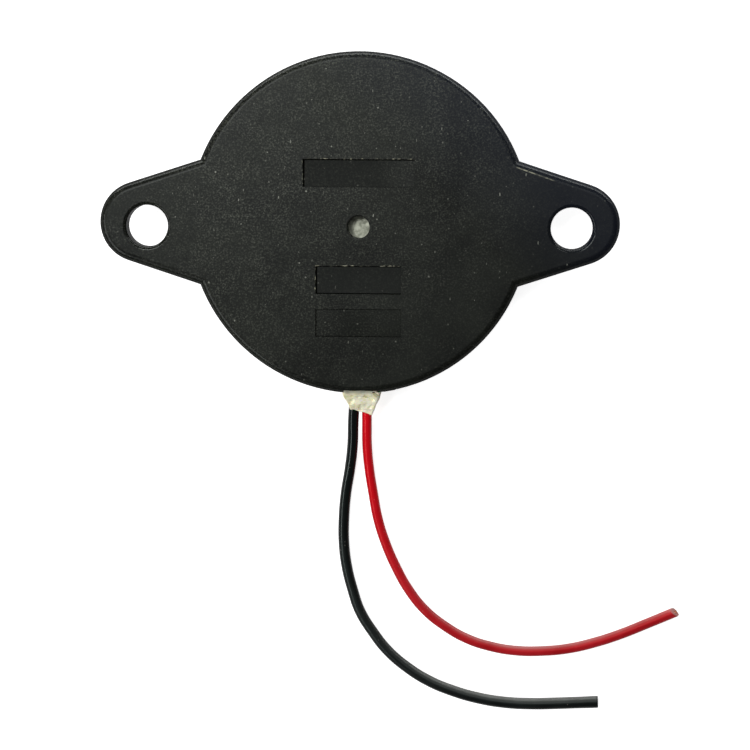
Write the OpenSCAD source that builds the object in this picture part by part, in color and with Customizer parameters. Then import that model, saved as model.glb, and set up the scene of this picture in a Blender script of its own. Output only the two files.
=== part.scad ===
// Flange-mounted piezo sounder with two flying leads.
// It lies on its back: the sounding face points up (+Z) and the back is on Z = 0.
// The mounting ears point along +X and -X, and the leads leave along -Y.
// The origin is the centre of the round body's back.

/* [Body] */
// Outer diameter of the round body
body_d = 34.3; // [32:0.1:44]
// Height from the back to the sounding face
body_h = 6.5; // [6.2:0.1:12]
// Thickness of the side wall
side_wall = 1.5; // [1.3:0.1:1.8]
// Thickness of the front wall
front_wall = 1.2; // [1:0.1:1.8]
// Radius of the rounded front edge of the body and the ears
edge_r = 0.8; // [0.2:0.05:1]
// Chamfer on the outer edge of the back
back_chamfer = 0.2; // [0.05:0.05:0.4]
// How far the line of the three round holes lies below the centre
hole_line_drop = 0.4; // [0:0.1:1]

/* [Sound hole] */
// Diameter of the sound hole
sound_d = 2.2; // [1:0.1:5]
// Radius of the sound hole's rounded rim
sound_rim_r = 0.15; // [0.05:0.05:0.4]

/* [Ears] */
// Distance from the round wall out to the centre of each mounting hole
ear_reach = 4.15; // [3.5:0.05:8]
// Diameter of the mounting holes
ear_hole_d = 4.2; // [2.5:0.1:5.2]
// Radius of the rounded rim of each mounting hole
ear_rim_r = 0.35; // [0.1:0.05:0.6]
// Radius of the ears' round ends
ear_end_r = 4.1; // [3.6:0.1:6]
// How far the centre of the round end lies beyond the hole
ear_end_shift = 0.7; // [0:0.1:1.2]
// Angle by which each side of an ear closes in
ear_taper = 18; // [5:1:25]
// Thickness of the ears
ear_t = 2.5; // [1.5:0.1:4]

/* [Label recesses] */
// Depth of the three bare label recesses
recess_depth = 0.15; // [0.05:0.05:0.4]
// Height of the recesses
recess_h = 2.8; // [1.5:0.1:3.5]
// Width of the upper recess
upper_recess_w = 11.2; // [4:0.1:14]
// Width of the two lower recesses
lower_recess_w = 8.6; // [4:0.1:12]
// Distance from the centre up to the middle of the upper recess
upper_recess_y = 5.0; // [3:0.1:8]
// Distance from the centre down to the middle of the second recess
middle_recess_y = 5.7; // [4:0.1:6.5]
// Distance from the centre down to the middle of the third recess
lower_recess_y = 10.0; // [9.7:0.1:12]

/* [Back cover] */
// Thickness of the back cover
cover_t = 1.2; // [0.8:0.1:2]
// Width of the shoulder that the cover seats on
shoulder_w = 0.6; // [0.4:0.05:0.9]
// Clearance around the cover
cover_gap = 0.05; // [0.02:0.01:0.1]
// Chamfer on the cover's outer edge
cover_chamfer = 0.15; // [0.05:0.05:0.3]
// Diameter of the gate mark in the middle of the cover
gate_d = 1.8; // [1:0.1:4]
// Depth of the gate mark
gate_depth = 0.2; // [0.1:0.05:0.4]

/* [Diaphragm] */
// Diameter of the metal plate
plate_d = 27; // [20:0.1:28.5]
// Thickness of the metal plate
plate_t = 0.15; // [0.1:0.01:0.3]
// Clearance around the plate in its guide wall
plate_gap = 0.1; // [0.05:0.01:0.2]
// Width of bare plate around the ceramic disc
rim_w = 3.5; // [3.2:0.1:5]
// Thickness of the ceramic disc
ceramic_t = 0.2; // [0.1:0.01:0.3]
// Width of bare ceramic around the silver electrode
electrode_margin = 0.6; // [0.2:0.1:1.5]
// Thickness of the silver electrode
electrode_t = 0.03; // [0.02:0.01:0.05]
// Height of the air space between the front wall and the plate
front_space = 1.0; // [0.5:0.1:1.3]
// Width of the ring rib that the plate's edge seats on
rib_w = 1.3; // [0.8:0.1:1.5]
// Thickness of the guide wall around the plate
guide_wall = 0.7; // [0.5:0.1:0.8]
// Width of the silicone bead on the plate
bead_w = 0.6; // [0.3:0.1:0.8]
// Height of the silicone bead against the guide wall
bead_h = 0.4; // [0.2:0.05:0.5]
// Height by which the guide wall stands past the bead
guide_lip = 0.1; // [0:0.05:0.2]

/* [Leads] */
// Outer diameter of the red lead's insulation
red_lead_d = 1.0; // [0.8:0.05:1.25]
// Outer diameter of the black lead's insulation
black_lead_d = 1.1; // [0.8:0.05:1.25]
// Diameter of the stranded conductor
conductor_d = 0.38; // [0.2:0.02:0.6]
// Clearance between the conductor and its insulation
strand_gap = 0.02; // [0.01:0.01:0.04]
// Gap between the back cover and the thicker lead
lead_lift = 0.6; // [0.3:0.1:1]
// Diameter of the solder joints
solder_d = 1.8; // [1.2:0.1:2]
// Height of the solder joints
solder_h = 0.55; // [0.45:0.05:0.7]
// Distance from the electrode's edge in to the red lead's joint
red_joint_inset = 2.6; // [1.2:0.1:4]

/* [Lead outlet] */
// Width of the outlet slot
slot_w = 3.4; // [3:0.1:5]
// Sideways place of the outlet slot
slot_x = 0.2; // [0:0.1:0.5]
// Sealant over the leads inside the slot
seal_cover = 0.6; // [0.4:0.1:1]
// How far the sealant reaches into the body past the side wall
seal_inside = 0.3; // [0.1:0.1:1]
// How far the lump of sealant stands out from the side wall
seal_out = 2.1; // [1.5:0.1:3]
// Thickness of the sealant round the leads at the lump's tip
seal_skin = 0.2; // [0.15:0.05:0.5]
// How far the lump laps onto the side wall around the slot
seal_lap = 0.3; // [0.1:0.1:0.6]

/* [Gate mark on the side wall] */
// Width of the trimmed gate beside the outlet
nub_w = 1.2; // [0.5:0.1:2]
// Height of the trimmed gate
nub_h = 1.4; // [0.5:0.1:2]
// How far the trimmed gate stands out
nub_out = 0.2; // [0.1:0.05:0.3]
// Gap between the outlet slot and the trimmed gate
nub_gap = 0.5; // [0.4:0.1:2]

/* [Hidden] */

$fn = 96;
over = 1;              // how far a cut runs past the face it opens
tube_sides = 8;        // sides of a lead's tube
solder_sink = 0.25;    // depth of a conductor's axis inside its joint

body_r = body_d / 2;
inner_r = body_r - side_wall;
seat_r = inner_r + shoulder_w;
cover_r = seat_r - cover_gap;
hole_y = -hole_line_drop;

// Ears
hole_x = body_r + ear_reach;
ear_end_x = hole_x + ear_end_shift;
ear_root_r = body_r - side_wall / 2;    // the ears start inside the side wall

// Heights of the diaphragm, counted down from the front wall's inner face
front_inner_z = body_h - front_wall;
plate_top_z = front_inner_z - front_space;
plate_z = plate_top_z - plate_t;
ceramic_z = plate_z - ceramic_t;
electrode_z = ceramic_z - electrode_t;

// The discs of the diaphragm
plate_r = plate_d / 2;
ceramic_r = plate_r - rim_w;
electrode_r = ceramic_r - electrode_margin;

// The rib and the guide wall that hold the plate
guide_r = plate_r + plate_gap;
rib_r = guide_r - rib_w;
guide_outer_r = guide_r + guide_wall;
guide_z = plate_z - bead_h - guide_lip;

// Heights of the leads' axes in the joints and in the outlet
thick_lead_r = max(red_lead_d, black_lead_d) / 2;
outlet_z = cover_t + lead_lift + thick_lead_r;
red_joint_z = electrode_z - solder_sink;
black_joint_z = plate_z - solder_sink;
slot_top_z = outlet_z + thick_lead_r + seal_cover;

// Places of the solder joints: red on the electrode, and black on the bare rim of the plate,
// midway between the ceramic and the silicone bead
red_joint_x = 1.6;
black_joint_x = -1.2;
function joint_at(x, r) = [x, -sqrt(r * r - x * x)];
red_joint = joint_at(red_joint_x, electrode_r - red_joint_inset);
black_joint = joint_at(black_joint_x, (ceramic_r + plate_r - bead_w) / 2);

// Routes of the leads as [x, y, level]. Level 1 is in the solder joint, 0 is in the
// outlet, and at -1 the lead lies on the surface that the body lies on.
red_route = [
    [red_joint[0], red_joint[1], 1], [red_joint[0] - 0.1, red_joint[1] - 1.2, 0.75],
    [1.4, -9.0, 0.35], [1.2, -11.0, 0.05],
    [0.9, -13.4, 0], [0.7, -15.8, 0], [0.7, -18.2, 0], [0.7, -20.5, -0.15],
    [0.7, -22.9, -0.5], [0.9, -25.4, -0.85], [1.3, -28.0, -1], [1.8, -30.6, -1],
    [2.6, -33.1, -1], [3.7, -35.6, -1], [5.0, -37.9, -1], [6.7, -40.0, -1],
    [8.7, -41.6, -1], [11.0, -42.9, -1], [13.5, -43.7, -1], [16.1, -44.1, -1],
    [18.8, -44.1, -1], [21.5, -43.8, -1], [24.3, -43.1, -1], [26.9, -42.2, -1],
    [29.5, -41.1, -1], [32.5, -39.8, -1]
];
black_route = [
    [black_joint[0], black_joint[1], 1], [black_joint[0] + 0.1, black_joint[1] - 1, 0.7],
    [-0.9, -13.4, 0.3], [-0.7, -14.7, 0.05],
    [-0.6, -16.2, 0], [-0.6, -18.2, 0], [-0.7, -20.5, -0.15], [-0.8, -22.9, -0.5],
    [-1.1, -25.4, -0.85], [-1.5, -27.9, -1], [-1.7, -30.4, -1], [-1.7, -33.0, -1],
    [-1.4, -35.5, -1], [-0.8, -37.9, -1], [0.0, -40.2, -1], [1.3, -42.3, -1],
    [2.8, -44.2, -1], [4.9, -46.0, -1], [7.2, -47.4, -1], [9.7, -48.4, -1],
    [12.3, -49.1, -1], [15.0, -49.5, -1], [17.8, -49.6, -1], [20.6, -49.5, -1],
    [22.6, -49.4, -1], [24.6, -49.3, -1]
];
stripped_points = 2;   // points at the start of each route that have no insulation

function level_z(level, joint_z, lead_d) =
    outlet_z + level * (level > 0 ? joint_z - outlet_z : outlet_z - lead_d / 2);
function placed(route, joint_z, lead_d) =
    [for (p = route) [p[0], p[1], level_z(p[2], joint_z, lead_d)]];
function insulated(path) = [for (i = [stripped_points : len(path) - 1]) path[i]];

red_path = placed(red_route, red_joint_z, red_lead_d);
black_path = placed(black_route, black_joint_z, black_lead_d);

// One ring of a tube: a polygon square to the path at its point i
function unit(v) = v / norm(v);
function heading(path, i) = unit(path[min(i + 1, len(path) - 1)] - path[max(i - 1, 0)]);
function ring(path, i, r) =
    let (ahead = heading(path, i), side = unit(cross([0, 0, 1], ahead)), up = cross(ahead, side))
    [for (k = [0 : tube_sides - 1])
        let (a = 360 * (k + 0.5) / tube_sides)
        path[i] + r * (cos(a) * side + sin(a) * up)];
function rings(path, r) = [for (i = [0 : len(path) - 1]) each ring(path, i, r)];

// Faces of one sleeve of rings, whose points start at index first
function sleeve(count, first, inward) =
    [for (i = [0 : count - 2], k = [0 : tube_sides - 1])
        let (a = first + i * tube_sides + k,
             b = first + i * tube_sides + (k + 1) % tube_sides,
             c = b + tube_sides,
             d = a + tube_sides)
        inward ? [a, b, c, d] : [d, c, b, a]];

// A solid tube swept along a path
module rod(path, r) {
    n = len(path);
    last = (n - 1) * tube_sides;
    polyhedron(
        points = rings(path, r),
        faces = concat(
            sleeve(n, 0, false),
            [[for (k = [0 : tube_sides - 1]) k]],
            [[for (k = [tube_sides - 1 : -1 : 0]) last + k]]
        )
    );
}

// A hollow tube swept along a path
module pipe(path, r, bore_r) {
    n = len(path);
    inner = n * tube_sides;
    last = (n - 1) * tube_sides;
    polyhedron(
        points = concat(rings(path, r), rings(path, bore_r)),
        faces = concat(
            sleeve(n, 0, false),
            sleeve(n, inner, true),
            [for (k = [0 : tube_sides - 1])
                let (m = (k + 1) % tube_sides) [k, m, inner + m, inner + k]],
            [for (k = [0 : tube_sides - 1])
                let (m = (k + 1) % tube_sides)
                [last + m, last + k, inner + last + k, inner + last + m]]
        )
    );
}

// A disc on Z = 0 with a rounded upper edge
module rounded_disc(r, h, rounding) {
    rotate_extrude()
        rounded_corner(r, h, rounding);
}

// A rectangle from the origin whose far upper corner is rounded
module rounded_corner(w, h, rounding) {
    difference() {
        square([w, h]);
        translate([w - rounding, h - rounding])
            difference() {
                square(rounding + over);
                circle(r = rounding);
            }
    }
}

// The cutter for a round hole down from Z = 0, with a rounded upper rim
module rimmed_hole(d, depth, rim_r) {
    rotate_extrude()
        difference() {
            translate([0, -depth])
                square([d / 2 + rim_r, depth + over]);
            translate([d / 2, -depth - over])
                square([rim_r + over, depth + over - rim_r]);
            translate([d / 2 + rim_r, -rim_r])
                circle(r = rim_r);
        }
}

// Half section of the round cup, with the rib and the guide wall for the plate
module cup_section() {
    difference() {
        rounded_corner(body_r, body_h, edge_r);
        translate([body_r - back_chamfer, 0])
            polygon([[0, -over], [0, 0], [back_chamfer, back_chamfer], [over, back_chamfer],
                     [over, -over]]);
        translate([-over, -over])
            square([over + seat_r, over + cover_t]);
        difference() {
            translate([-over, 0])
                square([over + inner_r, front_inner_z]);
            translate([rib_r, plate_top_z])
                square([guide_outer_r - rib_r, front_space]);
            translate([guide_r, guide_z])
                square([guide_wall, plate_top_z - guide_z]);
        }
    }
}

// One long edge of an ear: a bar whose outer upper edge is rounded
module ear_side() {
    translate([ear_end_x, 0, 0])
        rotate([0, 0, -ear_taper])
            rotate([90, 0, -90])
                linear_extrude(ear_end_x)
                    mirror([1, 0, 0])
                        rounded_corner(ear_end_r, ear_t, edge_r);
}

// The ear on the +X side
module ear() {
    translate([0, 0, body_h - ear_t])
        difference() {
            union() {
                translate([ear_end_x, 0, 0])
                    rounded_disc(ear_end_r, ear_t, edge_r);
                ear_side();
                mirror([0, 1, 0])
                    ear_side();
                linear_extrude(ear_t)
                    polygon([[ear_end_x + over, 0],
                             [0, ear_end_x * tan(ear_taper) + over],
                             [0, -ear_end_x * tan(ear_taper) - over]]);
            }
            translate([0, 0, -over])
                cylinder(r = ear_root_r, h = ear_t + 2 * over);
        }
}

// One label recess, cut into the sounding face about the point (x, y)
module recess(x, y, w) {
    translate([x - w / 2, y - recess_h / 2, body_h - recess_depth])
        cube([w, recess_h, recess_depth + over]);
}

module housing() {
    color([0.17, 0.18, 0.18])
        difference() {
            union() {
                rotate_extrude()
                    cup_section();
                ear();
                mirror([1, 0, 0])
                    ear();
                trimmed_gate();
            }
            translate([0, hole_y, body_h])
                rimmed_hole(sound_d, front_wall + over, sound_rim_r);
            for (side = [-1, 1])
                translate([side * hole_x, hole_y, body_h])
                    rimmed_hole(ear_hole_d, ear_t + over, ear_rim_r);
            recess(0, upper_recess_y, upper_recess_w);
            recess(0, -middle_recess_y, lower_recess_w);
            recess(0, -lower_recess_y, lower_recess_w);
            outlet_slot(-over);
        }
}

// The cutter for the slot that the leads leave through, from the height z up
module outlet_slot(z) {
    translate([slot_x - slot_w / 2, -body_r - over, z])
        cube([slot_w, side_wall + 2 * over, slot_top_z - z]);
}

// What is left of the moulding gate, beside the outlet
module trimmed_gate() {
    x = slot_x + slot_w / 2 + nub_gap + nub_w / 2;
    z = slot_top_z - nub_h / 2;
    rotate([0, 0, asin(x / body_r)])
        translate([-nub_w / 2, -body_r - nub_out, z - nub_h / 2])
            cube([nub_w, nub_out + side_wall / 2, nub_h]);
}

// The cover's tongue closes the outlet slot below the leads
module back_cover() {
    tongue_w = slot_w - 2 * cover_gap;
    color([0.14, 0.15, 0.15])
        difference() {
            union() {
                chamfered_disc(cover_r, cover_t, cover_chamfer);
                intersection() {
                    translate([slot_x - tongue_w / 2, -body_r - over, 0])
                        cube([tongue_w, body_r, cover_t]);
                    cylinder(r = body_r, h = cover_t);
                }
            }
            translate([0, 0, -over])
                cylinder(d = gate_d, h = over + gate_depth);
        }
}

// A disc on Z = 0 whose lower edge is chamfered
module chamfered_disc(r, h, chamfer) {
    cylinder(r1 = r - chamfer, r2 = r, h = chamfer);
    translate([0, 0, chamfer])
        cylinder(r = r, h = h - chamfer);
}

module metal_plate() {
    color([0.72, 0.72, 0.68])
        translate([0, 0, plate_z])
            cylinder(r = plate_r, h = plate_t);
}

module ceramic_disc() {
    color([0.85, 0.8, 0.68])
        translate([0, 0, ceramic_z])
            cylinder(r = ceramic_r, h = ceramic_t);
}

module silver_electrode() {
    color([0.88, 0.88, 0.86])
        translate([0, 0, electrode_z])
            cylinder(r = electrode_r, h = electrode_t);
}

// The bead lies in the corner between the plate's back and the guide wall
module adhesive_ring() {
    color([0.9, 0.9, 0.85])
        rotate_extrude()
            polygon([[plate_r - bead_w, plate_z], [guide_r, plate_z],
                     [guide_r, plate_z - bead_h]]);
}

// A solder joint hanging from the height z, cast round its conductor
module solder_joint(place, z, path) {
    base_r = solder_d / 2;
    ball_r = (base_r * base_r + solder_h * solder_h) / (2 * solder_h);
    color([0.78, 0.79, 0.8])
        difference() {
            translate([place[0], place[1], z])
                mirror([0, 0, 1])
                    rotate_extrude()
                        intersection() {
                            translate([0, solder_h - ball_r])
                                circle(r = ball_r);
                            square([base_r, solder_h]);
                        }
            rod(path, conductor_d / 2);
        }
}

module red_solder_joint() {
    solder_joint(red_joint, electrode_z, red_path);
}

module black_solder_joint() {
    solder_joint(black_joint, plate_z, black_path);
}

module lead_insulation(path, lead_d) {
    pipe(insulated(path), lead_d / 2, conductor_d / 2 + strand_gap);
}

module red_insulation() {
    color([0.75, 0.1, 0.14])
        lead_insulation(red_path, red_lead_d);
}

module red_conductor() {
    color([0.8, 0.5, 0.35])
        rod(red_path, conductor_d / 2);
}

module black_insulation() {
    color([0.1, 0.11, 0.11])
        lead_insulation(black_path, black_lead_d);
}

module black_conductor() {
    color([0.8, 0.5, 0.35])
        rod(black_path, conductor_d / 2);
}

// The sealant fills the outlet above the cover and makes a lump round the leads outside
module lead_sealant() {
    color([0.87, 0.85, 0.72])
        difference() {
            union() {
                translate([slot_x - slot_w / 2, side_wall / 2 - body_r, cover_t])
                    cube([slot_w, side_wall / 2 + seal_inside, slot_top_z - cover_t]);
                sealant_lump();
            }
            difference() {
                translate([0, 0, -over])
                    cylinder(r = body_r, h = body_h + 2 * over);
                outlet_slot(cover_t);
            }
            rod(insulated(red_path), red_lead_d / 2);
            rod(insulated(black_path), black_lead_d / 2);
        }
}

// The lump starts in the middle of the side wall and narrows to a skin round the two leads
module sealant_lump() {
    root_y = side_wall / 2 - body_r;
    tip_y = -body_r - seal_out + seal_skin;
    hull() {
        for (side = [-1, 1], z = [cover_t + seal_skin, slot_top_z + seal_lap - seal_skin])
            lump_corner(slot_x + side * (slot_w / 2 + seal_lap - seal_skin), root_y, z);
        lump_tip(black_path, black_lead_d / 2, tip_y);
        lump_tip(red_path, red_lead_d / 2, tip_y);
    }
}

// Four corners of the lump around a lead of radius r, where its path crosses the given y
module lump_tip(path, r, y) {
    lead = crossing(path, y);
    for (way = [[-1, 0], [1, 0], [0, -1], [0, 1]])
        lump_corner(lead[0] + way[0] * r, y, lead[2] + way[1] * r);
}

module lump_corner(x, y, z) {
    translate([x, y, z])
        sphere(r = seal_skin, $fn = 24);
}

// The point where a path crosses the given y on its way out
function crossing(path, y) =
    let (i = [for (i = [0 : len(path) - 2]) if (path[i][1] >= y && path[i + 1][1] < y) i][0],
         share = (path[i][1] - y) / (path[i][1] - path[i + 1][1]))
    path[i] + share * (path[i + 1] - path[i]);

housing();
back_cover();
metal_plate();
ceramic_disc();
silver_electrode();
adhesive_ring();
red_solder_joint();
black_solder_joint();
red_insulation();
red_conductor();
black_insulation();
black_conductor();
lead_sealant();
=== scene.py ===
import math
import random

import bpy
from mathutils import Matrix, Vector


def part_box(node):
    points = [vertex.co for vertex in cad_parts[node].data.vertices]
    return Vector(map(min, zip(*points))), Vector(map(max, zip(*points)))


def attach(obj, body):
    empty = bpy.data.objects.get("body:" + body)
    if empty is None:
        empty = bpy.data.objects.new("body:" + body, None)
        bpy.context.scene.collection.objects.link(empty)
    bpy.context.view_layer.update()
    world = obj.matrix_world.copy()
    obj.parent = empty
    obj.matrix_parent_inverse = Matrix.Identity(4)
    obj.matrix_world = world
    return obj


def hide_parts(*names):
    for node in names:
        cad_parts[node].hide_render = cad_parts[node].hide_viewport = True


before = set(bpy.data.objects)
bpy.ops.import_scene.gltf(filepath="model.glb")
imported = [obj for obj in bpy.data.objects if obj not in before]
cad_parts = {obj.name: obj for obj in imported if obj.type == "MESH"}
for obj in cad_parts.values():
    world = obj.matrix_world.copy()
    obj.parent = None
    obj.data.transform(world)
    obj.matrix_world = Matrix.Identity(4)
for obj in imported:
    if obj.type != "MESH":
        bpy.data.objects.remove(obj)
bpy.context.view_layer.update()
mm = 0.001
random.seed(7)


def linear(hexColour):
    channels = [int(hexColour[i:i + 2], 16) / 255 for i in (1, 3, 5)]
    return [c / 12.92 if c <= 0.04045 else ((c + 0.055) / 1.055) ** 2.4 for c in channels] + [1.0]


def perSize(millimetres):
    return 1000 / millimetres  # texture scale that makes a pattern repeat about once in that size


def setInput(tree, node, name, value):
    # a node stands for the first output that it has in use
    if isinstance(value, bpy.types.Node):
        value = next(socket for socket in value.outputs if socket.enabled)
    if isinstance(value, bpy.types.NodeSocket):
        tree.links.new(value, node.inputs[name])
    else:
        node.inputs[name].default_value = value


def addNode(tree, kind, inputs=None, **settings):
    node = tree.nodes.new("ShaderNode" + kind)
    for name, value in settings.items():
        setattr(node, name, value)
    for name, value in (inputs or {}).items():
        setInput(tree, node, name, value)
    return node


def startMaterial(name, **shaderInputs):
    material = bpy.data.materials.new(name)
    material.use_nodes = True
    tree = material.node_tree
    shader = tree.nodes["Principled BSDF"]
    for socket, value in shaderInputs.items():
        setInput(tree, shader, socket.replace("_", " "), value)
    return material, tree, shader


def selectOnly(*pieces):
    bpy.ops.object.select_all(action="DESELECT")
    for piece in pieces:
        piece.select_set(True)
    bpy.context.view_layer.objects.active = pieces[-1]


def selectParts(piece, faces=None, edges=None, vertices=None):
    # leaves the piece in object mode, with only these parts selected
    mesh = piece.data
    bpy.ops.object.mode_set(mode="EDIT")
    bpy.ops.mesh.select_all(action="DESELECT")
    bpy.ops.object.mode_set(mode="OBJECT")
    for face in mesh.polygons if faces else ():
        face.select = faces(face)
    for edge in mesh.edges if edges else ():
        edge.select = edges(*[mesh.vertices[i].co for i in edge.vertices])
    for vertex in mesh.vertices if vertices else ():
        vertex.select = vertices(vertex.co)


def editSelected(operator, **settings):
    bpy.ops.object.mode_set(mode="EDIT")
    operator(**settings)
    bpy.ops.object.mode_set(mode="OBJECT")


def applyModifier(piece, kind, **settings):
    modifier = piece.modifiers.new(kind.title(), kind)
    for name, value in settings.items():
        setattr(modifier, name, value)
    selectOnly(piece)
    bpy.ops.object.modifier_apply(modifier=modifier.name)


def setMaterial(piece, material):
    piece.data.materials.clear()
    piece.data.materials.append(material)


cameraSettings = {
    "place": (0.0170, 0.0105, 0.3000),
    "aim": (0.00165, -0.01534, 0.0050),
    "roll": math.radians(0.3),
    "lens": 141,
}


def addCamera():
    place, aim = Vector(cameraSettings["place"]), Vector(cameraSettings["aim"])
    bpy.ops.object.camera_add(location=place)
    camera = bpy.context.object
    forward = (aim - place).normalized()
    right = forward.cross(Vector((0, 1, 0))).normalized()
    turn = Matrix((right, right.cross(forward), -forward)).transposed()
    camera.rotation_euler = (turn @ Matrix.Rotation(cameraSettings["roll"], 3, "Z")).to_euler()
    camera.data.lens = cameraSettings["lens"]
    camera.data.clip_start = 0.01
    bpy.context.scene.camera = camera


addCamera()
print("camera placed")


# Leads: stranded copper in coloured PVC, lying where the CAD leads lie.
leadSettings = {
    "red": {
        "radius": 0.5 * mm,
        "exitPoint": 6,                    # the point of the route where it leaves the case
        "route": [
            (0.0016, -0.0066, 0.0037), (0.0015, -0.0078, 0.0033),
            (0.0014, -0.0090, 0.0028), (0.0012, -0.0110, 0.0024), (0.0009, -0.0134, 0.00235),
            (0.0007, -0.0158, 0.00235), (0.0007, -0.0182, 0.00235), (0.0007, -0.0205, 0.0021),
            (0.0007, -0.0229, 0.0014), (0.0009, -0.0254, 0.0008), (0.0013, -0.0280, 0.0005),
            (0.0018, -0.0306, 0.0005), (0.0026, -0.0331, 0.0005), (0.0037, -0.0356, 0.0005),
            (0.0050, -0.0379, 0.0005), (0.0067, -0.0400, 0.0005), (0.0087, -0.0416, 0.0005),
            (0.0110, -0.0429, 0.0005), (0.0135, -0.0437, 0.0005), (0.0161, -0.0441, 0.0005),
            (0.0188, -0.0441, 0.0005), (0.0215, -0.0438, 0.0005), (0.0243, -0.0431, 0.0005),
            (0.0269, -0.0422, 0.0005), (0.0295, -0.0411, 0.0005), (0.0325, -0.0398, 0.0005),
        ],
        "endNormal": (0.66, 0.69, 0.30),   # the cut leans back and shows from above
        "pinch": (1.0, 1.0),
        "endRadius": 1.04,                 # the insulation is this much thicker at the end
    },
    "black": {
        "radius": 0.55 * mm,
        "exitPoint": 5,
        "route": [
            (-0.0012, -0.0114, 0.0039), (-0.0011, -0.0124, 0.0034),
            (-0.0009, -0.0134, 0.0028), (-0.0007, -0.0147, 0.0024), (-0.0006, -0.0162, 0.00235),
            (-0.0006, -0.0182, 0.00235), (-0.0007, -0.0205, 0.0021), (-0.0008, -0.0229, 0.00145),
            (-0.0011, -0.0254, 0.0008), (-0.0015, -0.0279, 0.00055), (-0.0017, -0.0304, 0.00055),
            (-0.0017, -0.0330, 0.00055), (-0.0014, -0.0355, 0.00055), (-0.0008, -0.0379, 0.00055),
            (0.0000, -0.0402, 0.00055), (0.0013, -0.0423, 0.00055), (0.0028, -0.0442, 0.00055),
            (0.0049, -0.0460, 0.00055), (0.0072, -0.0474, 0.00055), (0.0097, -0.0484, 0.00055),
            (0.0123, -0.0491, 0.00055), (0.0150, -0.0495, 0.00055), (0.0178, -0.0496, 0.00055),
            (0.0206, -0.0495, 0.00055), (0.0226, -0.0494, 0.00055), (0.0246, -0.0493, 0.00055),
        ],
        "endNormal": (0.99, 0.14, 0.0),
        "pinch": (1.03, 0.97),             # the cutter squeezed the end wider and flatter
        "endRadius": 1.10,
    },
    "clearance": 0.01 * mm,        # keeps the underside off the table's surface
    "swellFrom": 24 * mm,          # distances from the end at which the insulation starts to grow
    "swellTo": 5.5 * mm,           # thicker and at which it is as thick as it gets
    "strippedPoints": 2,
    "trimDepth": 0.05 * mm,
    "endCutBack": 0.6,             # how far back a slanting cut is set, in radii
    "boreRadius": 0.21 * mm,
    "boreDepth": 0.35 * mm,
    "strandRadius": 0.063 * mm,
    "strandStep": 0.127 * mm,      # centre to centre of neighbouring strands
    "twistPitch": 9 * mm,
    "strandProud": (0.008 * mm, 0.04 * mm),
    "pinchFrom": 0.8 * mm,
    "pinchReach": 1.6 * mm,
    "cutReach": 2.5 * mm,
    "cutFlatness": 0.01 * mm,
    "rimRound": 0.07 * mm,
    "smoothAngle": math.radians(40),
}


def toMesh(piece):
    selectOnly(piece)
    bpy.ops.object.convert(target="MESH")
    return bpy.context.object


def addCurve(name, kind, points, radii=None, **settings):
    data = bpy.data.curves.new(name, "CURVE")
    data.dimensions = "3D"
    spline = data.splines.new(kind)
    knots = spline.bezier_points if kind == "BEZIER" else spline.points
    knots.add(len(points) - 1)
    for i, (knot, point) in enumerate(zip(knots, points)):
        knot.co = point if kind == "BEZIER" else (*point, 1)
        knot.radius = radii[i] if radii else 1
        if kind == "BEZIER":
            knot.handle_left_type = knot.handle_right_type = "AUTO"
    for setting, value in settings.items():
        setattr(data, setting, value)
    curve = bpy.data.objects.new(name, data)
    bpy.context.scene.collection.objects.link(curve)
    return curve


def swelling(colour, place):
    toEnd = (Vector(leadSettings[colour]["route"][-1]) - Vector(place)).length
    start, end = leadSettings["swellFrom"], leadSettings["swellTo"]
    share = (start - toEnd) / (start - end)
    return 1 + (leadSettings[colour]["endRadius"] - 1) * min(1, max(0, share))


def centreLine(colour, points):
    # one smooth line through the route, nowhere nearer the table than the lead's own radius there
    line = toMesh(addCurve("line", "BEZIER", points, resolution_u=8))
    radius = leadSettings[colour]["radius"]
    found = [Vector((v.co.x, v.co.y,
                     max(v.co.z, radius * swelling(colour, v.co) + leadSettings["clearance"])))
             for v in line.data.vertices]
    bpy.data.objects.remove(line)
    return found


def cutThrough(piece, place, normal, rimRound=0):
    # a slice by a flat plane near a place; what lies past it goes, and the cut is closed
    selectOnly(piece)
    selectParts(piece, vertices=lambda corner: (corner - place).length < leadSettings["cutReach"])
    bpy.ops.object.mode_set(mode="EDIT")
    bpy.ops.mesh.bisect(plane_co=place, plane_no=normal, clear_outer=True, use_fill=True)
    if rimRound:
        bpy.ops.mesh.bevel(offset=rimRound, segments=2, affect="EDGES")
    bpy.ops.object.mode_set(mode="OBJECT")


def cutEnd(piece, place, normal, wall):
    # a snip through the insulation, and a bore for the strands if the cut face lies on the plane:
    # so far only the black lead's outer end does, and both inner ends are left open
    cutThrough(piece, place, normal, leadSettings["rimRound"])
    selectParts(piece, faces=lambda face: len(face.vertices) > 8
                and abs((face.center - place).dot(normal)) < leadSettings["cutFlatness"])
    editSelected(bpy.ops.mesh.inset, thickness=wall - leadSettings["rimRound"])
    editSelected(bpy.ops.mesh.extrude_region_move,
                 TRANSFORM_OT_translate={"value": -leadSettings["boreDepth"] * normal})


def endCut(colour):
    settings = leadSettings[colour]
    normal = Vector(settings["endNormal"]).normalized()
    back = leadSettings["endCutBack"] * settings["radius"] * normal.z
    return Vector(settings["route"][-1]) - back * normal, normal


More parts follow.
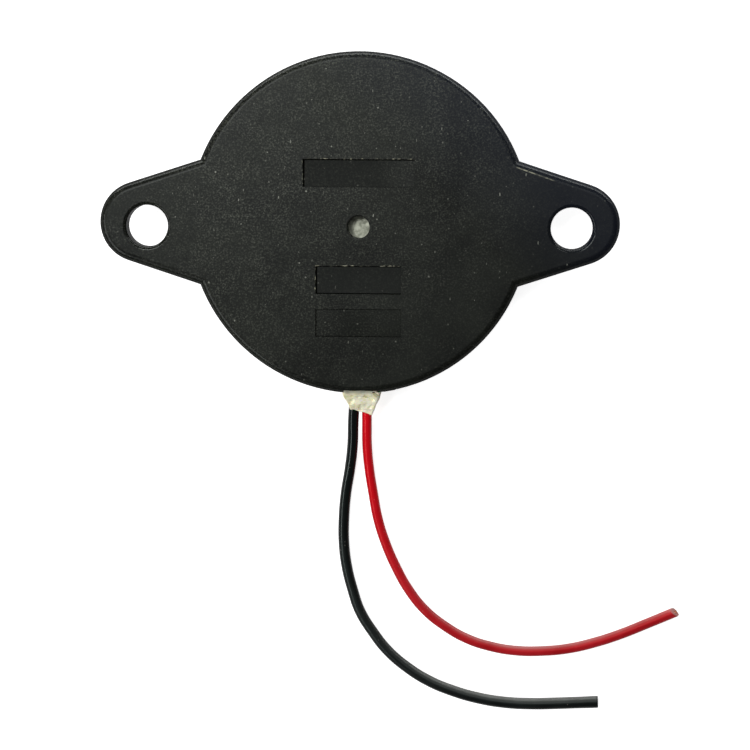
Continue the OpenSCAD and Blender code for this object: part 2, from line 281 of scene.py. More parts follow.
def makeLead(colour):
    settings = leadSettings[colour]
    covered = settings["route"][leadSettings["strippedPoints"]:]
    line = centreLine(colour, covered)
    radii = [swelling(colour, place) for place in line]
    beyond = line[-1] + (line[-1] - line[-2]).normalized() * settings["radius"]
    lead = toMesh(addCurve(colour + "_lead", "POLY", line + [beyond], radii + radii[-1:],
                           bevel_depth=settings["radius"], bevel_resolution=8, use_fill_caps=True))
    wall = settings["radius"] - leadSettings["boreRadius"]
    backward = (line[0] - line[1]).normalized()
    cutEnd(lead, line[0] - leadSettings["trimDepth"] * backward, backward, wall)
    cutEnd(lead, *endCut(colour), wall)
    selectParts(lead, vertices=lambda place: (place - line[-1]).length < leadSettings["pinchFrom"])
    editSelected(bpy.ops.transform.resize, value=(1, *settings["pinch"]),
                 center_override=(*line[-1][:2], 0), use_proportional_edit=True,
                 proportional_size=leadSettings["pinchReach"])
    bpy.ops.object.shade_smooth_by_angle(angle=leadSettings["smoothAngle"])
    return lead, line


def makeStrands(colour):
    # seven strands: one in the middle and six laid round it
    points = centreLine(colour, leadSettings[colour]["route"])
    points.append(2 * points[-1] - points[-2])
    place, normal = endCut(colour)
    strands = []
    for i in range(7):
        path, along = [], 0
        for k, point in enumerate(points):
            nextPoint, lastPoint = points[min(k + 1, len(points) - 1)], points[max(k - 1, 0)]
            ahead = (nextPoint - lastPoint).normalized()
            side = Vector((0, 0, 1)).cross(ahead).normalized()
            angle = math.tau * (i / 6 + along / leadSettings["twistPitch"])
            offset = math.cos(angle) * side + math.sin(angle) * ahead.cross(side)
            path.append(point + (leadSettings["strandStep"] * offset if i < 6 else Vector()))
            along += (nextPoint - point).length
        strand = toMesh(addCurve("strand", "POLY", path, bevel_depth=leadSettings["strandRadius"],
                                 bevel_resolution=1, use_fill_caps=True))
        proud = random.uniform(*leadSettings["strandProud"])
        cutThrough(strand, place + proud * normal, normal)
        strands.append(strand)
    selectOnly(*strands)
    bpy.ops.object.join()
    bundle = bpy.context.object
    bundle.name = colour + "_strands"
    bpy.ops.object.shade_smooth_by_angle(angle=leadSettings["smoothAngle"])
    return bundle


leads = {}
for colour in ("red", "black"):
    lead, line = makeLead(colour)
    strands = makeStrands(colour)
    leads[colour] = lead, strands
    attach(lead, "root")
    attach(strands, "root")
    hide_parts(colour + "_insulation")
    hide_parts(colour + "_conductor")


# The case is the CAD case, with grooves and a ragged burr left by the mould round its sunk fields.
caseSettings = {
    # in mm: each field's left, right, low and high edge, whether its edges are raised, the lift of
    # its floor at the left and right, and the groove along its sides: widths in the order of the
    # edges, and depths at the low left, low right, high left and high right corners
    "fields": [
        {"edges": (-5.6, 5.6, 3.6, 6.4), "raised": True, "lifts": (0.0, 0.09),
         "widths": (0.17, 0.01, 0.01, 0.13), "depths": (0.22, 0.0, 0.25, 0.05)},
        {"edges": (-4.3, 4.3, -7.1, -4.3), "raised": True, "lifts": (0.0, 0.05),
         "widths": (0.16, 0.01, 0.10, 0.08), "depths": (0.20, 0.24, 0.22, 0.08)},
        {"edges": (-4.3, 4.3, -11.4, -8.6), "raised": False, "lifts": (0.085, 0.11),
         "widths": (0.12, 0.02, 0.10, 0.07), "depths": (0.10, 0.04, 0.08, 0.02)},
    ],
    "floorDepths": (0.04 * mm, 0.2 * mm),    # every field's floor lies between these
    "floorArea": 10 * mm * mm,
    "groove": 0.05 * mm,
    "near": 0.002 * mm,
    "edgeRound": 0.07 * mm,
    "burr": {"step": 0.18 * mm, "radius": 0.055 * mm, "jitter": 0.03 * mm, "sunk": 0.012 * mm,
             "thickness": 0.35, "spread": 0.4, "least": 0.05},
    "doubles": 0.0005 * mm,
    "slivers": 0.001 * mm,
    "flatAngle": math.radians(0.3),
    "smoothAngle": math.radians(35),
}


def copyNode(node, name):
    # a copy of a CAD mesh with its doubled points merged and its flats made whole
    piece = bpy.data.objects.new(name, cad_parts[node].data.copy())
    bpy.context.scene.collection.objects.link(piece)
    selectOnly(piece)
    bpy.ops.mesh.customdata_custom_splitnormals_clear()
    bpy.ops.object.mode_set(mode="EDIT")
    bpy.ops.mesh.select_all(action="SELECT")
    bpy.ops.mesh.remove_doubles(threshold=caseSettings["doubles"])
    bpy.ops.mesh.dissolve_limited(angle_limit=caseSettings["flatAngle"])
    bpy.ops.mesh.dissolve_degenerate(threshold=caseSettings["slivers"])
    bpy.ops.object.mode_set(mode="OBJECT")
    return piece


def moveVertices(piece, chosen, shift):
    selectParts(piece, vertices=chosen)
    editSelected(bpy.ops.transform.translate, value=shift)


def shapeField(piece, field, faceHeight):
    left, right, low, high = (value * mm for value in field["edges"])
    near, groove = caseSettings["near"], caseSettings["groove"]
    shallow, deep = caseSettings["floorDepths"]

    def onFloor(place):
        return (left - near < place.x < right + near and low - near < place.y < high + near
                and faceHeight - deep < place.z < faceHeight - shallow)

    # the floor gets shallower to the right, and a groove runs along its sides
    for side, lift in zip((left, right), field["lifts"]):
        moveVertices(piece, lambda place: onFloor(place) and abs(place.x - side) < near,
                     (0, 0, lift * mm))
    selectParts(piece, faces=lambda face: face.normal.z > 0.9 and face.area > caseSettings["floorArea"]
                and onFloor(face.center))
    editSelected(bpy.ops.mesh.inset, thickness=groove)
    for axis, side, inward, width in zip((0, 0, 1, 1), (left, right, low, high), (1, -1, 1, -1),
                                         field["widths"]):
        shift = [0, 0, 0]
        shift[axis] = inward * (width * mm - groove)
        moveVertices(piece, lambda place: onFloor(place)
                     and abs(place[axis] - side - inward * groove) < near, shift)
    corners = (left, low), (right, low), (left, high), (right, high)
    for (x, y), depth in zip(corners, field["depths"]):
        moveVertices(piece, lambda place: onFloor(place) and abs(place.x - x) < near
                     and abs(place.y - y) < near, (0, 0, -depth * mm))
    if not field["raised"]:
        return

    # the left and the upper edge are rounded a little
    def onEdge(place):
        return place.z > faceHeight - 2 * near and (
            abs(place.x - left) < near and low - near < place.y < high + near
            or abs(place.y - high) < near and left - near < place.x < right + near)

    selectParts(piece, edges=lambda a, b: onEdge(a) and onEdge(b))
    editSelected(bpy.ops.mesh.bevel, offset=caseSettings["edgeRound"], segments=3, affect="EDGES")


def makeBurr(field, faceHeight):
    # a ragged thread of flash along the left and the upper edge
    settings = caseSettings["burr"]
    outward = 0.5 * caseSettings["edgeRound"]
    left, right, low, high = (value * mm for value in field["edges"])
    left, high = left - outward, high + outward
    corners = [Vector(corner) for corner in ((left, low), (left, high), (right, high))]
    points, radii = [], []
    for start, end in zip(corners, corners[1:]):
        count = int((end - start).length / settings["step"])
        for i in range(count):
            place = start.lerp(end, i / count)
            place += Vector([random.uniform(-1, 1) * settings["jitter"] for _ in range(2)])
            points.append((*place, faceHeight - settings["sunk"]))
            radii.append(max(settings["least"], random.gauss(settings["thickness"], settings["spread"])))
    burr = toMesh(addCurve("burr", "POLY", points, radii, bevel_depth=settings["radius"],
                           bevel_resolution=1, use_fill_caps=True))
    selectOnly(burr)
    bpy.ops.object.shade_smooth()
    return burr


def makeCase():
    piece = copyNode("housing", "case")
    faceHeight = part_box("housing")[1].z
    for field in caseSettings["fields"]:
        shapeField(piece, field, faceHeight)
    selectOnly(piece)
    bpy.ops.object.shade_smooth_by_angle(angle=caseSettings["smoothAngle"])
    applyModifier(piece, "WEIGHTED_NORMAL", keep_sharp=True, weight=100)
    burrs = [makeBurr(field, faceHeight) for field in caseSettings["fields"] if field["raised"]]
    selectOnly(*burrs, piece)
    bpy.ops.object.join()
    return piece


case = makeCase()
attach(case, "root")
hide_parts("housing")
print("case made,", len(case.data.polygons), "faces")


# The sealant is a lump pressed into the slot round the leads and smeared up over the case's rim.
sealantSettings = {
    "block": (-17.0, -1.5, 1.9, 3.5),      # in mm: its outer end, left, right and top, in the slot
    "slotMargin": 0.02 * mm,
    "sections": [  # in mm: y, left, right, low and high, out from the side wall
        (-16.84, -1.42, 1.85, 1.00, 6.36),
        (-17.15, -1.52, 2.10, 0.90, 6.10),
        (-17.5, -1.50, 2.02, 0.90, 5.25),
        (-18.1, -1.28, 1.84, 1.05, 4.65),
        (-18.6, -1.04, 1.62, 1.35, 4.20),
        (-19.0, -0.90, 1.46, 1.60, 3.75),
        (-19.25, -0.78, 1.28, 1.80, 3.25),
    ],
    "endTurn": math.radians(18),       # the lump reaches further out over the red lead
    "dents": [  # in mm and degrees: x, y, half length, half width, turn, reach and depth
        (1.80, -17.25, 0.30, 0.08, -35, 0.22, 0.60),
        (1.05, -17.68, 0.50, 0.04, -27, 0.22, 0.30),
        (-0.72, -18.05, 0.24, 0.05, 62, 0.24, 0.22),
        (0.15, -18.75, 0.28, 0.05, 80, 0.30, 0.18),
        (1.22, -18.62, 0.22, 0.04, 35, 0.22, 0.14),
        (-0.35, -17.45, 0.45, 0.04, -18, 0.22, 0.14),
    ],
    "dentsAbove": 2.9 * mm,
    "voxel": 0.07 * mm,
    "smoothing": {"factor": 0.5, "iterations": 5},
    "lumps": {"size": 1.1 * mm, "height": 0.32 * mm},
    "creases": {"size": 1.3 * mm, "height": 0.20 * mm},
}


def displace(piece, texture, strength, middle=0.5, **settings):
    pattern = bpy.data.textures.new(texture.lower(), texture)
    for name, value in settings.items():
        setattr(pattern, name, value)
    applyModifier(piece, "DISPLACE", texture=pattern, texture_coords="LOCAL", strength=strength,
                  mid_level=middle)


def centreAndSize(section):
    y, left, right, low, high = section
    return Vector(((left + right) / 2, y, (low + high) / 2)), Vector((right - left, 1, high - low))


def makeSealant():
    slotLow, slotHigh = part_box("lead_sealant")
    outer, left, right, top = (value * mm for value in sealantSettings["block"])
    centre, size = centreAndSize((outer, left, right, slotLow.z, top))
    margin = sealantSettings["slotMargin"]
    bpy.ops.mesh.primitive_cube_add(size=1, location=(centre.x, (slotHigh.y + outer) / 2, centre.z),
                                    scale=(size.x - margin, slotHigh.y - outer, size.z - margin))
    lump = bpy.context.object
    lump.name = "sealant_lump"
    bpy.ops.object.transform_apply(location=True, rotation=True, scale=True)
    selectParts(lump, faces=lambda face: face.normal.y < -0.9)
    bpy.ops.object.mode_set(mode="EDIT")
    for section in sealantSettings["sections"]:
        nextCentre, nextSize = centreAndSize([value * mm for value in section])
        bpy.ops.mesh.extrude_region_move()
        bpy.ops.transform.resize(value=(nextSize.x / size.x, 1, nextSize.z / size.z),
                                 center_override=centre)
        bpy.ops.transform.translate(value=nextCentre - centre)
        centre, size = nextCentre, nextSize
    bpy.ops.transform.rotate(value=sealantSettings["endTurn"], orient_axis="Z", center_override=centre)
    bpy.ops.object.mode_set(mode="OBJECT")
    applyModifier(lump, "REMESH", mode="VOXEL", voxel_size=sealantSettings["voxel"])
    applyModifier(lump, "SMOOTH", **sealantSettings["smoothing"])
    return lump


def pressIn(piece, x, y, halfLong, halfWide, turn, reach, depth):
    # the tool that pressed the putty in left this narrow dent in its upper side
    centre = Vector((x * mm, y * mm))
    along = Vector((math.cos(math.radians(turn)), math.sin(math.radians(turn))))

    def inDent(place):
        off = Vector(place[:2]) - centre
        return (abs(off.dot(along)) < halfLong * mm and abs(off.cross(along)) < halfWide * mm
                and place.z > sealantSettings["dentsAbove"])

    selectParts(piece, vertices=inDent)
    editSelected(bpy.ops.transform.translate, value=(0, 0, -depth * mm), use_proportional_edit=True,
                 proportional_size=reach * mm)


sealant = makeSealant()
lumps, creases = sealantSettings["lumps"], sealantSettings["creases"]
displace(sealant, "CLOUDS", lumps["height"], noise_scale=lumps["size"])
displace(sealant, "VORONOI", -creases["height"], middle=0.2, noise_scale=creases["size"], weight_1=-1,
         weight_2=1)
for dent in sealantSettings["dents"]:
    pressIn(sealant, *dent)
selectOnly(sealant)
bpy.ops.object.shade_smooth()
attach(sealant, "root")
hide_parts("lead_sealant")
print("sealant made,", len(sealant.data.polygons), "faces")


def scatterDust(tree, place, kind):
    # flecks at random places, each with a size and a tone of its own
    laid = addNode(tree, "Mapping", {"Vector": place, "Rotation": (0, 0, kind["turn"]),
                                     "Scale": [perSize(size) for size in kind["spacing"]]})
    cells = addNode(tree, "TexVoronoi", {"Vector": laid, "Scale": 1.0})
    chance = addNode(tree, "SeparateColor", {0: cells.outputs["Color"]})
    size = addNode(tree, "MapRange", {"Value": chance, "From Min": kind["rarity"], "From Max": 1.0,
                                      "To Max": kind["size"]})
    return addNode(tree, "Math", {0: cells, 1: size}, operation="LESS_THAN"), chance.outputs[1]


# Black moulded ABS. Its texture from the mould scatters a soft sheen, and it holds pale dust. Its colour
# also carries painted light: glints in its grain and specks, highlights on its burrs and a cool reflection
# cast.
absLook = {
    "gloss": 0.18,               # a textured face returns less of the light than a polished one
    "glossTint": "#F4FAF6",
    "base": "#050605",
    "cloud": "#0E100C",
    "cloudRange": (0.38, 0.62),
    "paintedCoolCast": "#0B0E17",
    "coolCastReach": (11 * mm, 23 * mm),      # painted reflection: a cool cast that grows towards the upper right
    "noises": {                  # each one's size in mm, detail and roughness
        "cloud": (7, 3, 0.5),
        "grain": (0.17, 3, 0.65),         # the real texture is near 0.05 mm, too fine to show
        "clump": (2.2, 3, 0.5),
        "shake": (0.3, 2, 0.5),
        "paleMarks": (0.45, 3, 0.5),
        "wave": (1.7, 2, 0.5),
    },
    "grain": "#5E6157",
    "grainRange": (0.40, 0.74),
    "grainSharpness": 2.0,
    "grainDepth": 0.008 * mm,
    "clumpRange": (0.35, 0.65),
    "clumpLeast": 0.5,
    # where grain and dust are least and fullest, and how much is left there: by the face's slope,
    # from the ears' outer half to the body, and from the lower right to the upper left
    # the rise towards the upper left follows the key lamp: there the grain and the specks are painted glints
    "fades": ((0.3, 0.9, 0.35), (20 * mm, 15 * mm, 0.5), (-20 * mm, 16 * mm, 0.25)),
    "waveDepth": 0.012 * mm,
    "dust": "#888A80",
    "specks": {"spacing": (0.65, 0.65, 0.65), "turn": 0, "rarity": 0.3, "size": 0.14},
    "fibres": {"spacing": (0.5, 1.6, 0.5), "turn": math.radians(6), "rarity": 0.65, "size": 0.12},
    "raggedness": 0.12 * mm,
    "paleEdgeMarks": "#94937F",
    "burrPaleRange": (0.45, 0.62),
    "strip": {"from": (15.65 * mm, 5.72 * mm), "to": (19.6 * mm, 4.33 * mm), "width": 0.07 * mm,
              "fullLength": 0.8, "fullWidth": 0.3, "paleMarks": (0.38, 0.60), "paleMarksLeast": 0.15},
    # zones by height: where each begins and where it is complete, from the face upwards
    "zones": {
        "edge": (-0.01 * mm, -0.10 * mm),
        "wall": (-0.22 * mm, -0.34 * mm),
        "field": (-0.055 * mm, -0.09 * mm),
        "burr": (0.001 * mm, 0.015 * mm),
        "top": (-0.60 * mm, -0.30 * mm),
        "holeRim": (-0.32 * mm, -0.24 * mm),
    },
    "fieldTone": "#0C0E0C",
    "fieldCover": 0.65,
    "flatFrom": 0.995,
    "roughRange": (0.3, 0.7),
    "faceRoughness": (0.29, 0.38),
    "edgeRoughness": 0.26,
    "wallRoughness": 0.80,       # the side walls carry a coarser texture than the face
    "fieldRoughness": 0.58,
    "earHole": (21.3 * mm, -0.4 * mm),
    "earHoleRim": (2.48 * mm, 2.40 * mm), # their rounded and polished rims begin there
    "rimRoughness": 0.16,
    "dullRoughness": 0.50,       # the holes' walls
    "partingHeight": 4.0 * mm,
    "coverParting": -1 * mm,     # below the cover, which shows no parting line
    "seamWidth": 0.05 * mm,
    "seamDepth": 0.03 * mm,
}


def makeAbs(name, faceHeight, partingHeight):
    material, tree, shader = startMaterial(name, Specular_IOR_Level=absLook["gloss"],
                                           Specular_Tint=linear(absLook["glossTint"]))
    place = addNode(tree, "TexCoord").outputs["Object"]
    axes = addNode(tree, "SeparateXYZ", {0: place}).outputs
    facing = addNode(tree, "SeparateXYZ", {0: addNode(tree, "NewGeometry").outputs["Normal"]})
    noise, zone = {}, {}
    for use, (size, detail, roughness) in absLook["noises"].items():
        noise[use] = addNode(tree, "TexNoise", {"Vector": place, "Scale": perSize(size), "Detail": detail,
                                                "Roughness": roughness})
    for use, (begin, whole) in absLook["zones"].items():
        zone[use] = addNode(tree, "MapRange", {"Value": axes["Z"], "From Min": faceHeight + begin,
                                               "From Max": faceHeight + whole})
    cloudy = addNode(tree, "MapRange", {"Value": noise["cloud"], "From Min": absLook["cloudRange"][0],
                                        "From Max": absLook["cloudRange"][1]})
    # painted reflection: a cool cast towards the upper right
    upRight = addNode(tree, "VectorMath", {0: place, 1: (1, 1, 0)}, operation="DOT_PRODUCT")
    paintedCoolCast = addNode(tree, "MapRange", {"Value": upRight, "From Min": absLook["coolCastReach"][0],
                                      "From Max": absLook["coolCastReach"][1]})

    # the mould's grain, painted as paler points, stronger in clumps and towards the upper left, where the
    # key lamp falls and the points are painted glints
    aside = addNode(tree, "Math", {0: axes["X"]}, operation="ABSOLUTE")
    upLeft = addNode(tree, "VectorMath", {0: place, 1: (-1, 1, 0)}, operation="DOT_PRODUCT")
    settledAndLit = 1.0
    for value, (least, fullest, left) in zip((facing.outputs["Z"], aside, upLeft), absLook["fades"]):
        share = addNode(tree, "MapRange", {"Value": value, "From Min": least, "From Max": fullest,
                                           "To Min": left})
        settledAndLit = addNode(tree, "Math", {0: settledAndLit, 1: share}, operation="MULTIPLY")
    clumped = addNode(tree, "MapRange", {"Value": noise["clump"], "From Min": absLook["clumpRange"][0],
                                         "From Max": absLook["clumpRange"][1],
                                         "To Min": absLook["clumpLeast"]})
    strength = addNode(tree, "Math", {0: clumped, 1: settledAndLit}, operation="MULTIPLY")
    peaks = addNode(tree, "MapRange", {"Value": noise["grain"], "From Min": absLook["grainRange"][0],
                                       "From Max": absLook["grainRange"][1]})
    sharpened = addNode(tree, "Math", {0: peaks, 1: absLook["grainSharpness"]}, operation="POWER")
    points = addNode(tree, "Math", {0: sharpened, 1: strength}, operation="MULTIPLY")

    # dust: round specks, and fibres drawn out along Y; the specks fade like the grain, so towards the lit
    # upper left they are partly painted glints
    shift = addNode(tree, "VectorMath", {0: noise["shake"].outputs["Color"], "Scale": absLook["raggedness"]},
                    operation="SCALE")
    ragged = addNode(tree, "VectorMath", {0: place, 1: shift}, operation="ADD")
    dust = []
    for kind, cover in (("specks", settledAndLit), ("fibres", 1.0)):
        flecks, tone = scatterDust(tree, ragged, absLook[kind])
        seen = addNode(tree, "Math", {0: tone, 1: cover}, operation="MULTIPLY")
        dust.append(addNode(tree, "Math", {0: flecks, 1: seen}, operation="MULTIPLY"))

    # the burr round the sunk fields is painted pale in places: partly wear, partly a painted highlight on
    # the lit left and upper edges
    burrPaleBreaks = addNode(tree, "MapRange", {"Value": noise["paleMarks"], "From Min": absLook["burrPaleRange"][0],
                                      "From Max": absLook["burrPaleRange"][1]})
    paleEdgeMarks = addNode(tree, "Math", {0: zone["burr"], 1: burrPaleBreaks}, operation="MULTIPLY")

    # a strip along the right ear's upper edge is painted pale in dashes
    strip = absLook["strip"]
    middle, half = [(Vector(strip["to"]) + sign * Vector(strip["from"])) / 2 for sign in (1, -1)]
    along = half.normalized()
    fromMiddle = addNode(tree, "VectorMath", {0: place, 1: (*middle, 0)}, operation="SUBTRACT")
    uneven = addNode(tree, "MapRange", {"Value": noise["paleMarks"], "From Min": strip["paleMarks"][0],
                                        "From Max": strip["paleMarks"][1], "To Min": strip["paleMarksLeast"]})
    dashes = addNode(tree, "Math", {0: uneven, 1: zone["top"]}, operation="MULTIPLY")
    for direction, reach, full in ((along, half.length, strip["fullLength"]),
                                   (along.orthogonal(), strip["width"], strip["fullWidth"])):
        off = addNode(tree, "VectorMath", {0: fromMiddle, 1: (*direction, 0)}, operation="DOT_PRODUCT")
        offSize = addNode(tree, "Math", {0: off}, operation="ABSOLUTE")
        share = addNode(tree, "MapRange", {"Value": offSize, "From Min": reach, "From Max": full * reach})
        dashes = addNode(tree, "Math", {0: dashes, 1: share}, operation="MULTIPLY")

    # the floors of the sunk fields are clean, and duller than the face
    flat = addNode(tree, "Math", {0: facing.outputs["Z"], 1: absLook["flatFrom"]}, operation="GREATER_THAN")
    inField = addNode(tree, "Math", {0: flat, 1: zone["field"]}, operation="MULTIPLY")
    clean = addNode(tree, "Math", {0: inField, 1: absLook["fieldCover"]}, operation="MULTIPLY")

    colour = linear(absLook["base"])
    for mask, over in ((cloudy, "cloud"), (paintedCoolCast, "paintedCoolCast"), (points, "grain"), (dust[0], "dust"),
                       (dust[1], "dust"), (paleEdgeMarks, "paleEdgeMarks"), (dashes, "paleEdgeMarks"), (clean, "fieldTone")):
        colour = addNode(tree, "Mix", {0: mask, 6: colour, 7: linear(absLook[over])}, data_type="RGBA")
    setInput(tree, shader, "Base Color", colour)

    # the rims of both ear holes are polished by the mould's pins, and their walls are dull
    holeX, holeY = absLook["earHole"]
    fromLine = addNode(tree, "VectorMath", {0: place, 1: (0, holeY, 0)}, operation="SUBTRACT")
    oneSide = addNode(tree, "VectorMath", {0: fromLine}, operation="ABSOLUTE")
    fromHole = addNode(tree, "VectorMath", {0: oneSide, 1: (holeX, 0, 0)}, operation="SUBTRACT")
    flatOff = addNode(tree, "VectorMath", {0: fromHole, 1: (1, 1, 0)}, operation="MULTIPLY")
    offHole = addNode(tree, "VectorMath", {0: flatOff}, operation="LENGTH")
    atHole = addNode(tree, "MapRange", {"Value": offHole, "From Min": absLook["earHoleRim"][0],
                                        "From Max": absLook["earHoleRim"][1]})
    holeRough = addNode(tree, "Mix", {0: zone["holeRim"], 2: absLook["dullRoughness"],
                                      3: absLook["rimRoughness"]}, data_type="FLOAT")

    # the rounded edges are smoother than the face, from handling
    rough = addNode(tree, "MapRange", {"Value": noise["cloud"], "From Min": absLook["roughRange"][0],
                                       "From Max": absLook["roughRange"][1],
                                       "To Min": absLook["faceRoughness"][0],
                                       "To Max": absLook["faceRoughness"][1]})
    for mask, over in ((zone["edge"], absLook["edgeRoughness"]), (zone["wall"], absLook["wallRoughness"]),
                       (inField, absLook["fieldRoughness"]), (atHole, holeRough)):
        rough = addNode(tree, "Mix", {0: mask, 2: rough, 3: over}, data_type="FLOAT")
    setInput(tree, shader, "Roughness", rough)

    # slow waves, grain and the mould's parting line
    above = addNode(tree, "Math", {0: axes["Z"], 1: partingHeight}, operation="SUBTRACT")
    away = addNode(tree, "Math", {0: above}, operation="ABSOLUTE")
    seam = addNode(tree, "MapRange", {"Value": away, "From Min": absLook["seamWidth"], "From Max": 0.0})
    bump = addNode(tree, "Bump", {"Height": noise["wave"], "Distance": absLook["waveDepth"]})
    for relief, depth in ((points, absLook["grainDepth"]), (seam, absLook["seamDepth"])):
        bump = addNode(tree, "Bump", {"Height": relief, "Distance": depth, "Normal": bump})
    setInput(tree, shader, "Normal", bump)
    return material


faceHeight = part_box("housing")[1].z
setMaterial(case, makeAbs("black_abs", faceHeight, absLook["partingHeight"]))
setMaterial(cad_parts["back_cover"], makeAbs("black_abs_cover", faceHeight, absLook["coverParting"]))
print("case and cover coloured")


# Soft PVC. It is glossy with a faint orange peel from the extruder, and dulled where it was handled.
pvcLook = {
    "gloss": {"red": 0.45, "black": 0.26},
    "glossTint": {"red": "#FF7A78", "black": "#F0FFFA"},
    "deep": {"red": "#A01119", "black": "#030404"},
    "bright": {"red": "#B01B23", "black": "#080B0B"},
    "toneSize": 2.5,
    "toneRange": (0.35, 0.65),
    "freshAndLit": {"red": "#CE0C1A", "black": "#050909"},    # the first stretch, which nobody handles, is glossier; its brighter red is painted light
    "freshAndLitReach": (-40 * mm, -25 * mm),
    "paintedSheen": {"red": "#B3716F", "black": "#6C6E6B"},     # a painted sheen: the reflection of the light behind, painted on one side
    "paintedSheenSide": (0.05, 0.91, 0.41),
    "paintedSheenFrom": 0.35,
    "paintedSheenFade": 3.5,
    "paintedSheenPatches": (0.3, 0.6),
    "paintedSheenLeast": 0.7,
    "dust": "#A9A39B",
    "specks": {"spacing": (0.5, 0.5, 0.5), "turn": 0, "rarity": 0.6, "size": 0.13},
    "dustCover": 0.3,
    "cut": {"red": "#94736C", "black": "#191B1A"},      # the snipped face is paler and dull
    "cutBand": (0.14 * mm, 0.04 * mm),
    "cutCover": 0.8,
    "roughRange": (0.3, 0.7),
    "roughness": (0.33, 0.42),
    "freshRoughness": 0.20,
    "peelSize": 0.5,
    "peelDepth": 0.006 * mm,
}


def makePvc(colour):
    material, tree, shader = startMaterial(colour + "_pvc", Specular_IOR_Level=pvcLook["gloss"][colour],
                                           Specular_Tint=linear(pvcLook["glossTint"][colour]))
    place = addNode(tree, "TexCoord").outputs["Object"]
    tones = addNode(tree, "TexNoise", {"Vector": place, "Scale": perSize(pvcLook["toneSize"]), "Detail": 4})
    toned = addNode(tree, "MapRange", {"Value": tones, "From Min": pvcLook["toneRange"][0],
                                       "From Max": pvcLook["toneRange"][1]})
    outward = addNode(tree, "SeparateXYZ", {0: place}).outputs["Y"]
    # the first stretch near the case: glossier, and for red painted brighter where more light falls
    freshAndLit = addNode(tree, "MapRange", {"Value": outward, "From Min": pvcLook["freshAndLitReach"][0],
                                       "From Max": pvcLook["freshAndLitReach"][1]})

    # painted sheen on the side that faces up and away, towards the low lamp behind
    facing = addNode(tree, "NewGeometry").outputs["Normal"]
    towards = addNode(tree, "VectorMath", {0: facing, 1: Vector(pvcLook["paintedSheenSide"]).normalized()},
                      operation="DOT_PRODUCT")
    paintedSheen = addNode(tree, "MapRange", {"Value": towards, "From Min": pvcLook["paintedSheenFrom"], "From Max": 1.0})
    fading = addNode(tree, "Math", {0: paintedSheen, 1: pvcLook["paintedSheenFade"]}, operation="POWER")
    patchy = addNode(tree, "MapRange", {"Value": tones, "From Min": pvcLook["paintedSheenPatches"][0],
                                        "From Max": pvcLook["paintedSheenPatches"][1],
                                        "To Min": pvcLook["paintedSheenLeast"]})
    paintedSheenMask = addNode(tree, "Math", {0: fading, 1: patchy}, operation="MULTIPLY")
    flecks, _ = scatterDust(tree, place, pvcLook["specks"])
    dusty = addNode(tree, "Math", {0: flecks, 1: pvcLook["dustCover"]}, operation="MULTIPLY")

    # the snipped end
    cutPlace, cutNormal = endCut(colour)
    fromCut = addNode(tree, "VectorMath", {0: place, 1: cutPlace}, operation="SUBTRACT")
    inward = addNode(tree, "VectorMath", {0: fromCut, 1: -cutNormal}, operation="DOT_PRODUCT")
    snipped = addNode(tree, "MapRange", {"Value": inward, "From Min": pvcLook["cutBand"][0],
                                         "From Max": pvcLook["cutBand"][1], "To Max": pvcLook["cutCover"]})
    beside = addNode(tree, "VectorMath", {0: fromCut}, operation="LENGTH")
    atEnd = addNode(tree, "Math", {0: beside, 1: 2 * leadSettings[colour]["radius"]}, operation="LESS_THAN")
    atCut = addNode(tree, "Math", {0: snipped, 1: atEnd}, operation="MULTIPLY")

    tone = linear(pvcLook["deep"][colour])
    for mask, over in ((toned, pvcLook["bright"][colour]), (freshAndLit, pvcLook["freshAndLit"][colour]),
                       (paintedSheenMask, pvcLook["paintedSheen"][colour]), (dusty, pvcLook["dust"]),
                       (atCut, pvcLook["cut"][colour])):
        tone = addNode(tree, "Mix", {0: mask, 6: tone, 7: linear(over)}, data_type="RGBA")
    setInput(tree, shader, "Base Color", tone)
    handled = addNode(tree, "MapRange", {"Value": tones, "From Min": pvcLook["roughRange"][0],
                                         "From Max": pvcLook["roughRange"][1],
                                         "To Min": pvcLook["roughness"][0],
                                         "To Max": pvcLook["roughness"][1]})
    rough = addNode(tree, "Mix", {0: freshAndLit, 2: handled, 3: pvcLook["freshRoughness"]}, data_type="FLOAT")
    setInput(tree, shader, "Roughness", rough)
    peel = addNode(tree, "TexNoise", {"Vector": place, "Scale": perSize(pvcLook["peelSize"]), "Detail": 1})
    bump = addNode(tree, "Bump", {"Height": peel, "Distance": pvcLook["peelDepth"]})
    setInput(tree, shader, "Normal", bump)
    return material


